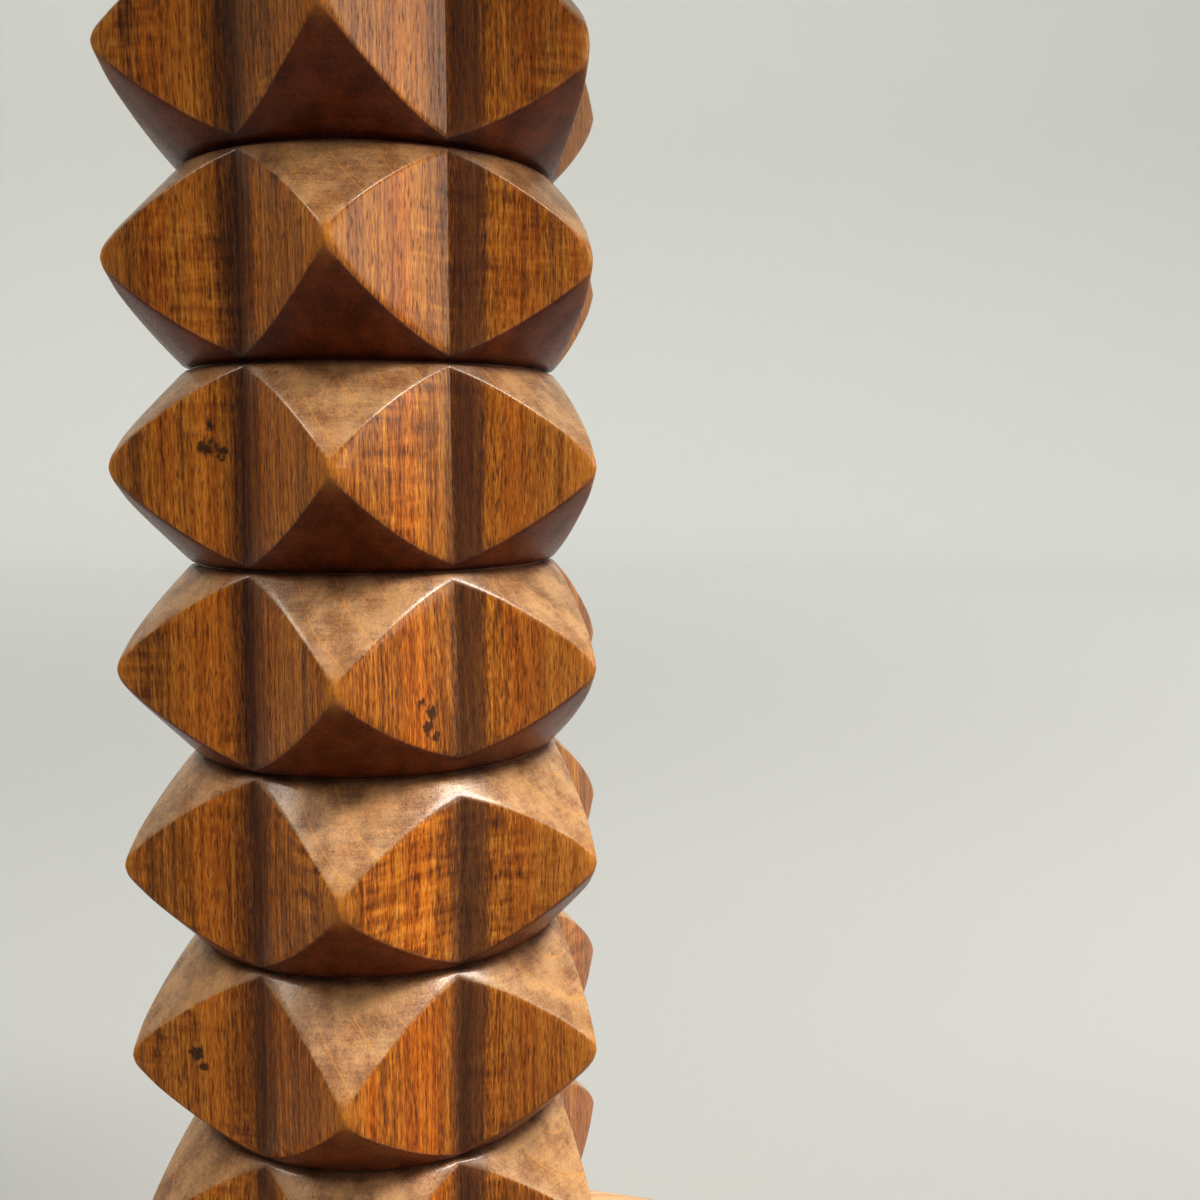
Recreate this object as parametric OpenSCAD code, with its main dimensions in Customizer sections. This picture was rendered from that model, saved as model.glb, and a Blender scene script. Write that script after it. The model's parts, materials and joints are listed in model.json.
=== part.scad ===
// Carved wooden headrest: an oval foot, a column of stacked six-pointed tiers,
// a turned collar and a curved head cradle, put together with wedged and pegged tenons.

/* [Column] */
// Radius over the points of a tier
tip_r = 22; // [18.5:0.5:32]
// Radius of the sharp necks turned between the tiers
neck_r = 15.2; // [12.5:0.1:16.5]
// How far the hollow between two points stands out from the necks
valley_rise = 0.4; // [0.1:0.1:1.5]
// How far past the points the two cones of a tier would meet
point_cut = 0.8; // [0.2:0.1:2]
// Height of one tier
tier_pitch = 15.9; // [10:0.1:24]
// Number of tiers
tiers = 9; // [3:1:14]

/* [Foot] */
// Length of the oval foot
foot_length = 122; // [80:1:180]
// Width of the oval foot
foot_width = 84; // [52:1:120]
// Thickness of the foot
foot_t = 18; // [10:0.5:30]
// Height of the round on the foot's top edge
foot_round = 6; // [2:0.5:9]

/* [Collar] */
// Thickness of the collar under the cradle
collar_t = 8; // [6:0.5:14]
// Radius of the collar
collar_r = 19; // [17:0.5:26]
// Round on the collar's lower edge
collar_round = 3; // [1:0.5:3.5]

/* [Cradle] */
// Length of the cradle from tip to tip
cradle_length = 170; // [130:1:200]
// Width of the cradle
cradle_width = 62; // [48:1:90]
// Thickness of the cradle over its flat seat
cradle_t = 11; // [8:0.5:18]
// Radius of the hollow that holds the head
saddle_r = 122; // [101:1:160]
// Upright thickness of the cradle at its tips
cradle_tip_t = 9; // [5:0.5:11]

/* [Joints] */
// Radius of the round tenons on both ends of the column
tenon_r = 10; // [6:0.5:11]
// Clearance all round a tenon, dowel or peg, taken up by glue
glue_gap = 0.1; // [0.05:0.01:0.2]
// Depth of a wedge driven into a tenon
wedge_depth = 8; // [5:0.5:10]
// Thickness of a wedge at its thick end
wedge_thick = 2.6; // [1.5:0.1:4]
// Thickness of a wedge at its thin end
wedge_thin = 0.8; // [0.5:0.1:1.4]
// Radius of the two dowels between collar and cradle
dowel_r = 2; // [1.5:0.1:2.5]
// Length of those dowels
dowel_length = 9; // [6:0.5:12]
// Radius of the peg across the collar
peg_r = 1.75; // [1.2:0.05:2.2]

/* [Hidden] */

points = 6;                       // points on a tier
column_z = foot_t;                // the column's shoulder stands on the foot
column_h = tiers * tier_pitch;
valley_r = neck_r + valley_rise;
apex_r = tip_r + point_cut;
collar_z = column_z + column_h;   // the collar lies on the column's upper shoulder
seat_z = collar_z + collar_t;     // the cradle's flat seat lies on the collar
saddle_z = seat_z + cradle_t;     // lowest point of the hollow
cradle_half = cradle_length / 2;
cradle_top = saddle_z + saddle_r - sqrt(saddle_r * saddle_r - cradle_half * cradle_half);
// The belly is an arc from the edge of the flat seat to the underside of the tips
seat_half = collar_r + 1;
belly_rise = cradle_top - cradle_tip_t - seat_z;
belly_up = (cradle_half * cradle_half - seat_half * seat_half + belly_rise * belly_rise) / (2 * belly_rise);
belly_r = sqrt(seat_half * seat_half + belly_up * belly_up);
dowel_share = 0.45;               // share of a dowel that sits in the collar below the seat
peg_share = 0.45;                 // how far up the collar the peg goes, as a share of its thickness
dowel_x = (tenon_r + collar_r) / 2;
dowel_z = seat_z - dowel_share * dowel_length;
peg_z = collar_z + peg_share * collar_t;
through = 1;                      // how far a cutting tool runs past the face that it cuts
wedge_proud = 1;                  // how far the upper wedge stands out before it is trimmed
round_fn = 96;
foot_sides = 96;                  // sides of the foot's oval outline
cradle_sides = 64;                // sides of the cradle's outline
squareness = 3;                   // 2 would be an ellipse, and more is squarer
round_steps = 7;                  // steps over the foot's rounded top edge
foot_ease = 1;                    // small bevel round the underside

// Outline of one tier seen from above: a point looks along -Y
function star_outline() =
    [for (i = [0 : 2 * points - 1])
        let (r = i % 2 == 0 ? tip_r : valley_r, a = -90 + i * 180 / points)
        [r * cos(a), r * sin(a)]];

// Half outline of the stacked double cones, from neck to neck
function cone_profile() = concat(
    [[0, 0]],
    [for (i = [0 : tiers - 1]) each
        [[neck_r, i * tier_pitch], [apex_r, (i + 0.5) * tier_pitch]]],
    [[neck_r, column_h], [0, column_h]]);

// The hollow for the head: a long cylinder lying across the cradle
module saddle_hollow()
    translate([0, 0, saddle_z + saddle_r])
        rotate([90, 0, 0])
            cylinder(r = saddle_r, h = cradle_width + 2 * through, center = true, $fn = round_fn);

// A wedge lying across the grain, thick end down at z = 0, as long as the tenon is wide
module wedge_blank()
    rotate([90, 0, 0])
        linear_extrude(height = 2 * tenon_r + 2 * through, center = true)
            polygon([[-wedge_thick / 2, 0], [wedge_thick / 2, 0],
                     [wedge_thin / 2, wedge_depth], [-wedge_thin / 2, wedge_depth]]);

// The same wedge turned over and left proud, to be trimmed flush with the hollow
module saddle_wedge_blank()
    translate([0, 0, saddle_z + wedge_proud])
        mirror([0, 0, 1])
            wedge_blank();

// One ring of the foot's outline, drawn in from its widest line by inset
function foot_ring(z, inset) =
    [for (k = [0 : foot_sides - 1])
        let (a = 360 * k / foot_sides)
        [(foot_length / 2 - inset) * cos(a), (foot_width / 2 - inset) * sin(a), z]];

// Rings from the eased lower edge, up the side and over the rounded top edge
function foot_rings() = concat(
    [foot_ring(0, foot_ease), foot_ring(foot_ease, 0)],
    [for (i = [0 : round_steps])
        let (a = 90 * i / round_steps)
        foot_ring(foot_t - foot_round + foot_round * sin(a), foot_round * (1 - cos(a)))]);

module base() {
    rings = foot_rings();
    last = len(rings) - 1;
    color("#b98254")
        difference() {
            polyhedron(
                points = [for (ring = rings) each ring],
                faces = concat(
                    [[for (k = [0 : foot_sides - 1]) k]],
                    [for (j = [0 : last - 1], k = [0 : foot_sides - 1])
                        let (n = (k + 1) % foot_sides)
                        [j * foot_sides + k, (j + 1) * foot_sides + k,
                         (j + 1) * foot_sides + n, j * foot_sides + n]],
                    [[for (k = [foot_sides - 1 : -1 : 0]) last * foot_sides + k]]));
            translate([0, 0, -through])
                cylinder(r = tenon_r + glue_gap, h = foot_t + 2 * through, $fn = round_fn);
        }
}

module column() {
    color("#8a4f26")
        difference() {
            union() {
                translate([0, 0, column_z])
                    intersection() {
                        linear_extrude(height = column_h)
                            polygon(star_outline());
                        rotate_extrude($fn = round_fn)
                            polygon(cone_profile());
                    }
                cylinder(r = tenon_r, h = cradle_top, $fn = round_fn);
            }
            saddle_hollow();
            wedge_blank();
            saddle_wedge_blank();
            translate([0, 0, peg_z])
                rotate([90, 0, 0])
                    cylinder(r = peg_r + glue_gap, h = 2 * collar_r, center = true, $fn = round_fn);
        }
}

// Half outline of the turned collar: a rounded lower edge and a flat top
module collar_profile() {
    difference() {
        square([collar_r, collar_t]);
        translate([collar_r - collar_round, 0])
            difference() {
                square([collar_round + through, collar_round]);
                translate([0, collar_round])
                    circle(r = collar_round, $fn = round_fn);
            }
    }
}

module neck_collar() {
    color("#7a4523")
        difference() {
            translate([0, 0, collar_z])
                rotate_extrude($fn = round_fn)
                    collar_profile();
            translate([0, 0, collar_z - through])
                cylinder(r = tenon_r + glue_gap, h = collar_t + 2 * through, $fn = round_fn);
            translate([0, 0, peg_z])
                rotate([90, 0, 0])
                    cylinder(r = peg_r + glue_gap, h = 2 * collar_r + 2 * through, center = true,
                             $fn = round_fn);
            dowel_pair(dowel_r + glue_gap, dowel_length + 2 * glue_gap);
        }
}

// Two upright dowels, one on each side of the tenon along the cradle
module dowel_pair(r, h) {
    for (side = [-1, 1])
        translate([side * dowel_x, 0, dowel_z - (h - dowel_length) / 2])
            cylinder(r = r, h = h, $fn = round_fn);
}

// Outline of the cradle from above: an oval with long, nearly straight sides
function cradle_outline() =
    [for (k = [0 : cradle_sides - 1])
        let (a = 360 * k / cradle_sides, c = cos(a), s = sin(a))
        [cradle_half * sign(c) * pow(abs(c), 2 / squareness),
         cradle_width / 2 * sign(s) * pow(abs(s), 2 / squareness)]];

module cradle() {
    color("#8f5429")
        difference() {
            intersection() {
                translate([0, 0, seat_z])
                    linear_extrude(height = cradle_top - seat_z)
                        polygon(cradle_outline());
                translate([0, 0, seat_z + belly_up])
                    rotate([90, 0, 0])
                        cylinder(r = belly_r, h = cradle_width + 2 * through, center = true, $fn = round_fn);
            }
            saddle_hollow();
            translate([0, 0, seat_z - through])
                cylinder(r = tenon_r + glue_gap, h = 2 * cradle_t, $fn = round_fn);
            dowel_pair(dowel_r + glue_gap, dowel_length + 2 * glue_gap);
        }
}

module foot_wedge() {
    color("#c79a63")
        intersection() {
            wedge_blank();
            cylinder(r = tenon_r, h = wedge_depth, $fn = round_fn);
        }
}

module saddle_wedge() {
    color("#c79a63")
        difference() {
            intersection() {
                saddle_wedge_blank();
                translate([0, 0, saddle_z - wedge_depth])
                    cylinder(r = tenon_r, h = 2 * wedge_depth, $fn = round_fn);
            }
            saddle_hollow();
        }
}

module cradle_dowels() {
    color("#c79a63")
        dowel_pair(dowel_r, dowel_length);
}

module neck_peg() {
    color("#c79a63")
        translate([0, 0, peg_z])
            intersection() {
                rotate([90, 0, 0])
                    cylinder(r = peg_r, h = 2 * collar_r, center = true, $fn = round_fn);
                cylinder(r = collar_r, h = 3 * peg_r, center = true, $fn = round_fn);
            }
}

base();
column();
neck_collar();
cradle();
foot_wedge();
saddle_wedge();
cradle_dowels();
neck_peg();
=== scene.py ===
"""Carved wooden headrest: oval foot, faceted column, turned collar and head cradle."""

import json
import math

import bmesh
import bpy
import numpy as np
from bpy.props import FloatProperty, FloatVectorProperty, IntProperty, PointerProperty
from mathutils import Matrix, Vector, noise

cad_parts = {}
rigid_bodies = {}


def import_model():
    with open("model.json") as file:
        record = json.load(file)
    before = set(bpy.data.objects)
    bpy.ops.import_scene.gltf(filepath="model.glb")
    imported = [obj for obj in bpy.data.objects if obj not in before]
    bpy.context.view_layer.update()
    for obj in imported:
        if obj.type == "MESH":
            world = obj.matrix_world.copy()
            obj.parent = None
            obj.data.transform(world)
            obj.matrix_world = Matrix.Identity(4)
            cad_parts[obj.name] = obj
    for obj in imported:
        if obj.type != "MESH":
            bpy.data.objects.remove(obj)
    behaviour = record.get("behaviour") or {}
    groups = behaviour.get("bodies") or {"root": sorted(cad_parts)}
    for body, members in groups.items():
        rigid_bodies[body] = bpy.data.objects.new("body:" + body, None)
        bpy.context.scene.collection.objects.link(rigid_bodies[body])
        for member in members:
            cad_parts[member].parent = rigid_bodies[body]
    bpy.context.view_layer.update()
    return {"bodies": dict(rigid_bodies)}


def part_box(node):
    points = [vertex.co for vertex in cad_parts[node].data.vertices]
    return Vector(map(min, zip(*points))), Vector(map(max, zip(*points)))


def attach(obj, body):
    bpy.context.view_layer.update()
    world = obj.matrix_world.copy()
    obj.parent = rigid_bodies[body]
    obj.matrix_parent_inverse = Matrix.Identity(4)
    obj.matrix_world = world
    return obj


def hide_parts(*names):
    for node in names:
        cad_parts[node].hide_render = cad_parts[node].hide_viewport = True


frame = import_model()
BODY = next(iter(frame["bodies"]))
MM = 0.001

bl_info = {
    "name": "Carved headrest",
    "version": (1, 0, 0),
    "blender": (4, 5, 0),
    "location": "View3D > Sidebar > Headrest",
    "description": "Builds a carved headrest of three tenoned parts, with its wood finishes",
    "category": "Object",
}

# ---------------------------------------------------------------- places taken from the frame
FOOT_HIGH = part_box("base")[1]
COLUMN_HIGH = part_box("column")[1]
COLLAR_LOW, COLLAR_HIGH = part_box("neck_collar")
CRADLE_LOW, CRADLE_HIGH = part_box("cradle")
WEDGE_LOW, WEDGE_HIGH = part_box("saddle_wedge")
FOOT_WEDGE_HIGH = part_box("foot_wedge")[1]
PEG_LOW, PEG_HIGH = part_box("neck_peg")
SHOULDER = FOOT_HIGH.z
COLUMN_TOP = COLLAR_LOW.z
SADDLE = WEDGE_HIGH.z
POINT_R = COLUMN_HIGH.y
TENON_R = WEDGE_HIGH.y
RIDGES = 6
MIDDLE = Vector((0, 0, (SHOULDER + COLUMN_TOP) / 2))
PEG_HEIGHT = (PEG_LOW.z + PEG_HIGH.z) / 2

# Small sizes of the making
THINNEST = 0.02 * MM  # least half width of a slab at its ends
SPLIT_GAP = 0.05 * MM  # between a wedge and the tenon halves beside it
TENON_BEVEL = 0.2 * MM
TENON_SINK = 0.15 * MM  # how far the lower tenon's end stays above the foot's underside
WEDGE_BEVEL = 0.12 * MM
WEDGE_SINK = 0.1 * MM
FOOT_EASE = 1.2 * MM  # round on the foot's lower edge
COLLAR_EASE = 0.7 * MM  # round on the collar's upper edge
SEAT_EASE = 0.25 * MM  # softness of the line where the cradle's belly leaves its flat seat
JOINT_R = 20 * MM  # inside this radius the foot and the cradle stay true for their joints
CRADLE_SHRINK = 0.0012  # share by which the cradle's plan is drawn in, for the unevenness of its edge
COLLAR_GRIME_AND_SHADE, MORTISE_GRIME_AND_SHADE = 0.7 * MM, 0.6 * MM  # reach of the painted shade, with grime, under the collar and round the mortise

# Unevenness of the faces: size and depth of the feature, and a shift of the noise
SHAFT_UNEVEN = ((11 * MM, 0.07 * MM, 3.1), (3.5 * MM, 0.018 * MM, 8.4))
FOOT_SIDE_UNEVEN = (26 * MM, 0.12 * MM, 1.3)
FOOT_TOP_UNEVEN = (21 * MM, 0.10 * MM, 5.2)
CRADLE_UNEVEN = (24 * MM, 0.14 * MM, 2.2)


# ---------------------------------------------------------------- sizes and colours
class HeadrestShape(bpy.types.PropertyGroup):
    """Sizes of the carved pieces that the frame's boxes don't give."""

    tiers: IntProperty(name="Tiers", description="Number of tiers in the column", default=9, min=3)
    neck_r: FloatProperty(
        name="Neck radius", description="Radius of the necks between the tiers",
        default=15.2 * MM, unit="LENGTH")
    valley_rise: FloatProperty(
        name="Valley rise", description="How far the hollow between two points stands out from the necks",
        default=0.4 * MM, unit="LENGTH")
    point_cut: FloatProperty(
        name="Point cut", description="How far past the points the two cones of a tier would meet",
        default=0.8 * MM, unit="LENGTH")
    edge_soft: FloatProperty(
        name="Edge softness", description="Rounding of the edges between facets and cones",
        default=0.26 * MM, unit="LENGTH")
    point_soft: FloatProperty(
        name="Point softness", description="Rounding of the points, worn by handling",
        default=0.50 * MM, unit="LENGTH")
    kerf: FloatProperty(
        name="Kerf", description="Depth of the fine line cut at every neck",
        default=0.45 * MM, unit="LENGTH")
    saddle_r: FloatProperty(
        name="Saddle radius", description="Radius of the hollow that holds the head",
        default=122 * MM, unit="LENGTH")
    foot_round: FloatProperty(
        name="Foot edge", description="Round on the foot's top edge", default=6 * MM, unit="LENGTH")
    collar_round: FloatProperty(
        name="Collar edge", description="Round on the collar's lower edge", default=3 * MM, unit="LENGTH")
    cradle_round: FloatProperty(
        name="Cradle edge", description="Softened edge of the cradle", default=3.2 * MM, unit="LENGTH")
    tip_t: FloatProperty(
        name="Tip thickness", description="Upright thickness of the cradle at its tips",
        default=9 * MM, unit="LENGTH")
    glue_gap: FloatProperty(
        name="Glue line", description="Gap all round a tenon or peg", default=0.1 * MM, unit="LENGTH")


class HeadrestFinish(bpy.types.PropertyGroup):
    """Colours of the woods."""

    column_pale: FloatVectorProperty(
        name="Column, palest grain", description="Palest streaks of the column's wood",
        default=(0.62, 0.29, 0.055), subtype="COLOR", size=3, min=0, max=1)
    column_light: FloatVectorProperty(
        name="Column, light grain", description="Light streaks of the column's wood",
        default=(0.44, 0.170, 0.022), subtype="COLOR", size=3, min=0, max=1)
    column_mid: FloatVectorProperty(
        name="Column, ground", description="Ground colour of the column's wood",
        default=(0.25, 0.082, 0.010), subtype="COLOR", size=3, min=0, max=1)
    column_dark: FloatVectorProperty(
        name="Column, dark stripes", description="Purple-brown stripes of the column's wood",
        default=(0.085, 0.027, 0.008), subtype="COLOR", size=3, min=0, max=1)
    # The two bloom colours are grey and light: they paint the satin sheen of the cones as well as their duller
    # end grain
    bloom_and_sheen_light: FloatVectorProperty(
        name="Bloom, light", description="Light clouds where the column's wood is cut across the grain",
        default=(0.52, 0.35, 0.20), subtype="COLOR", size=3, min=0, max=1)
    bloom_and_sheen_dark: FloatVectorProperty(
        name="Bloom, dark", description="Dark clouds where the column's wood is cut across the grain",
        default=(0.235, 0.15, 0.095), subtype="COLOR", size=3, min=0, max=1)
    foot_light: FloatVectorProperty(
        name="Foot, light grain", description="Light streaks of the foot's wood",
        default=(0.60, 0.36, 0.19), subtype="COLOR", size=3, min=0, max=1)
    foot_mid: FloatVectorProperty(
        name="Foot, ground", description="Ground colour of the foot's wood",
        default=(0.44, 0.215, 0.090), subtype="COLOR", size=3, min=0, max=1)
    peg_light: FloatVectorProperty(
        name="Pegs", description="Colour of the wedges, dowels and peg",
        default=(0.62, 0.42, 0.22), subtype="COLOR", size=3, min=0, max=1)


class HeadrestStudio(bpy.types.PropertyGroup):
    """Camera and lights."""

    distance: FloatProperty(
        name="Camera distance", description="From the camera to the column's axis",
        default=113.9 * MM, unit="LENGTH")
    side: FloatProperty(
        name="Camera side", description="Angle of the camera round the column from its front ridge",
        default=math.radians(8.31), subtype="ANGLE")
    turn: FloatProperty(
        name="Camera turn", description="Angle of the camera's aim to the right of the column's axis",
        default=math.radians(9.85), subtype="ANGLE")
    tilt: FloatProperty(
        name="Camera tilt", description="Angle of the camera's aim below the horizon",
        default=math.radians(6.28), subtype="ANGLE")
    height: FloatProperty(
        name="Camera height", description="From the foot's top to the camera",
        default=88.2 * MM, unit="LENGTH")
    lens: FloatProperty(name="Lens", description="Focal length of the camera", default=38.8)
    wall_tone: FloatVectorProperty(
        name="Wall", description="Colour of the wall behind",
        default=(0.57, 0.57, 0.542), subtype="COLOR", size=3, min=0, max=1)
    floor_tone: FloatVectorProperty(
        name="Floor", description="Colour of the floor, which the lights reach more of",
        default=(0.35, 0.35, 0.333), subtype="COLOR", size=3, min=0, max=1)


# ---------------------------------------------------------------- shader expressions
class Wire:
    """A socket in a shader expression: +, -, * and / add Math nodes, or Vector Math on vectors."""

    def __init__(self, graph, socket):
        self.graph = graph
        self.socket = socket

    def _join(self, operation, first, second):
        kind = "ShaderNodeVectorMath" if self.socket.type == "VECTOR" else "ShaderNodeMath"
        return self.graph.add(kind, {"operation": operation}, {0: first, 1: second})

    def __add__(self, other):
        return self._join("ADD", self, other)

    def __sub__(self, other):
        return self._join("SUBTRACT", self, other)

    def __mul__(self, other):
        return self._join("MULTIPLY", self, other)

    def __truediv__(self, other):
        return self._join("DIVIDE", self, other)

    __radd__ = __add__
    __rmul__ = __mul__


class Graph:
    """One material's node tree, with a Principled shader."""

    def __init__(self, name):
        self.material = bpy.data.materials.new(name)
        self.material.use_nodes = True
        self.tree = self.material.node_tree
        self.tree.nodes.clear()
        out = self.tree.nodes.new("ShaderNodeOutputMaterial")
        self.shader = self.tree.nodes.new("ShaderNodeBsdfPrincipled")
        self.tree.links.new(self.shader.outputs[0], out.inputs["Surface"])

    def fill(self, socket, value):
        """Links a wire to a socket, or sets the socket to a plain value."""
        if isinstance(value, Wire):
            self.tree.links.new(value.socket, socket)
        else:
            socket.default_value = value

    def add(self, kind, settings=None, inputs=None, output=0):
        """Adds a node: its settings are set first, then the values or links of its sockets."""
        node = self.tree.nodes.new(kind)
        for key, value in (settings or {}).items():
            if key == "stops":
                ramp = node.color_ramp.elements
                while len(ramp) < len(value):
                    ramp.new(1.0)
                for element, (place, colour) in zip(ramp, value):
                    element.position = place
                    element.color = (*colour, 1.0)
            else:
                setattr(node, key, value)
        for key, value in (inputs or {}).items():
            self.fill(node.inputs[key], value)
        return Wire(self, node.outputs[output])

    def blend(self, first, second, share):
        """A colour between two colours."""
        sockets = {0: share, 6: self.colour(first), 7: self.colour(second)}
        return self.add("ShaderNodeMix", {"data_type": "RGBA"}, sockets, output=2)

    def tint(self, colour, shade, share):
        """A colour multiplied by another."""
        sockets = {0: share, 6: self.colour(colour), 7: self.colour(shade)}
        return self.add("ShaderNodeMix", {"data_type": "RGBA", "blend_type": "MULTIPLY"}, sockets, output=2)

    @staticmethod
    def colour(value):
        return value if isinstance(value, Wire) else (*value, 1.0)

    def larger(self, first, second):
        return self.add("ShaderNodeMath", {"operation": "MAXIMUM"}, {0: first, 1: second})

    def step(self, value, low, high):
        """0 below low, 1 above high and smooth between them."""
        return self.add(
            "ShaderNodeMapRange", {"interpolation_type": "SMOOTHSTEP"},
            {"Value": value, "From Min": low, "From Max": high})

    def noise(self, place, detail=2.0, rough=0.5, output="Fac"):
        return self.add(
            "ShaderNodeTexNoise", {},
            {"Vector": place, "Scale": 1.0, "Detail": detail, "Roughness": rough}, output)

    def finish(self, **sockets):
        """Sets the shader's sockets, named in words joined by underscores."""
        for key, value in sockets.items():
            self.fill(self.shader.inputs[key.replace("_", " ")], value)
        return self.material


def wood_grain(graph, turn, pith, ring_gap, wander=1.5):
    """Places, rings and fibres of a solid piece of wood whose grain runs along the local Z.

    turn turns the wood's Z into the grain's direction, pith is the heart of the tree and ring_gap the
    width of a year's growth, both in millimetres."""
    place = graph.add("ShaderNodeTexCoord", output="Object")
    place = graph.add("ShaderNodeMapping", {}, {"Vector": place, "Rotation": turn, "Scale": (1000,) * 3})
    drift = graph.noise(place * (0.055, 0.055, 0.011), 2.0, 0.5, "Color")
    drift = graph.add("ShaderNodeVectorMath", {"operation": "SUBTRACT"}, {0: drift, 1: (0.5,) * 3})
    bent = place + drift * (2 * wander, 2 * wander, 0.0)
    away = (bent - (pith[0], pith[1], 0.0)) * (1.0, 1.0, 0.0)
    radius = graph.add("ShaderNodeVectorMath", {"operation": "LENGTH"}, {0: away}, output="Value")
    years = radius / ring_gap
    year = graph.add("ShaderNodeMath", {"operation": "FRACT"}, {0: years})
    return place, bent, years, year


# ---------------------------------------------------------------- wood finishes
PORE, KNOT = (0.045, 0.013, 0.005), (0.030, 0.011, 0.007)
# The second colour is the paler wood of worn points, which also paints their highlight
HEARTWOOD, WORN_AND_HIGHLIGHT = (0.080, 0.035, 0.022), (0.46, 0.20, 0.04)
# Sizes of the noises in the column's wood: features to a millimetre across the grain (X and Y) and along it (Z)
STREAKS, FLECKS, RIPPLES = (3.0, 3.0, 0.06), (8.5, 8.5, 1.0), (0.26, 0.26, 1.3)
FIGURED, GLOWS = (0.07, 0.07, 0.045), (0.34, 0.34, 0.012)
PORES, CLOUDS = (6.4, 6.4, 0.85), (0.42, 0.42, 0.36)
# Tints that the ground colour is multiplied by
WARM_TINT, COOL_TINT = (1.0, 0.80, 0.55), (0.74, 0.76, 0.95)
# The deep red-brown tint is painted shade on faces that look down
# The purple-grey tint is painted shade, with grime, in the creases and joints
UNDERSIDE_SHADE_TINT, GRIME_AND_SHADE_TINT, FLECK_TINT = (0.33, 0.14, 0.075), (0.50, 0.46, 0.60), (0.45, 0.35, 0.28)
# Small knots and torn pores: place and radius in millimetres
KNOTS = (
    ((-10.9, -12.8, 106.9), 0.65), ((-9.8, -13.2, 106.6), 0.60), ((-10.5, -13.0, 108.6), 0.35),
    ((-13.4, -12.3, 58.6), 0.60), ((-12.7, -12.6, 57.4), 0.45),
    ((5.6, -16.6, 87.9), 0.35), ((6.4, -16.2, 87.0), 0.50), ((6.0, -16.4, 86.0), 0.55),
    ((6.7, -16.1, 85.2), 0.40), ((14.9, 14.2, 75.0), 0.60), ((-15.5, 13.0, 118.0), 0.55),
)


def knot_marks(g, place):
    """1 inside the small knots, with ragged edges, and 0 elsewhere."""
    rag = g.noise(place * (2.2, 2.2, 1.6), 2.0, 0.6)
    marks = None
    for centre, radius in KNOTS:
        away = g.add("ShaderNodeVectorMath", {"operation": "DISTANCE"}, {0: place, 1: centre}, output="Value")
        spot = g.step(away / radius + (rag - 0.5) * 3.0, 1.35, 0.55)
        marks = spot if marks is None else g.larger(marks, spot)
    return marks


# Stripes that run down the column: middle and half width across it in millimetres, and strength
DARK_STRIPES = ((-7.7, 1.1, 0.50), (9.0, 1.45, 0.72), (15.6, 4.8, 0.25))
AMBER_STRIPES = ((-10.9, 1.3, 0.55), (5.2, 1.0, 0.30))


def stripes_across(g, bent, fleck, stripes):
    """How strong a set of stripes is, with edges broken up by the flecks."""
    across = g.add("ShaderNodeSeparateXYZ", {}, {0: bent}, output="X")
    depth = None
    for middle, half_width, strength in stripes:
        off = g.add("ShaderNodeMath", {"operation": "ABSOLUTE"}, {0: across - middle})
        stripe = g.step(off / half_width + (fleck - 0.5) * 0.9, 1.35, 0.5) * strength
        depth = stripe if depth is None else g.larger(depth, stripe)
    return depth


def turned_marks(g, place):
    """Fine tool and sanding marks that run round the column's axis."""
    flat = place * (1.0, 1.0, 0.0)
    off_axis = g.add("ShaderNodeVectorMath", {"operation": "LENGTH"}, {0: flat}, output="Value")
    across = g.add("ShaderNodeSeparateXYZ", {}, {0: place}, output="X")
    depth = g.add("ShaderNodeSeparateXYZ", {}, {0: place}, output="Y")
    up = g.add("ShaderNodeSeparateXYZ", {}, {0: place}, output="Z")
    around = g.add("ShaderNodeMath", {"operation": "ARCTAN2"}, {0: depth, 1: across})
    at = g.add("ShaderNodeCombineXYZ", {}, {"X": off_axis * 3.4, "Y": around * 4.5, "Z": up * 3.4})
    return g.noise(at, 2.0, 0.6)


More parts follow.
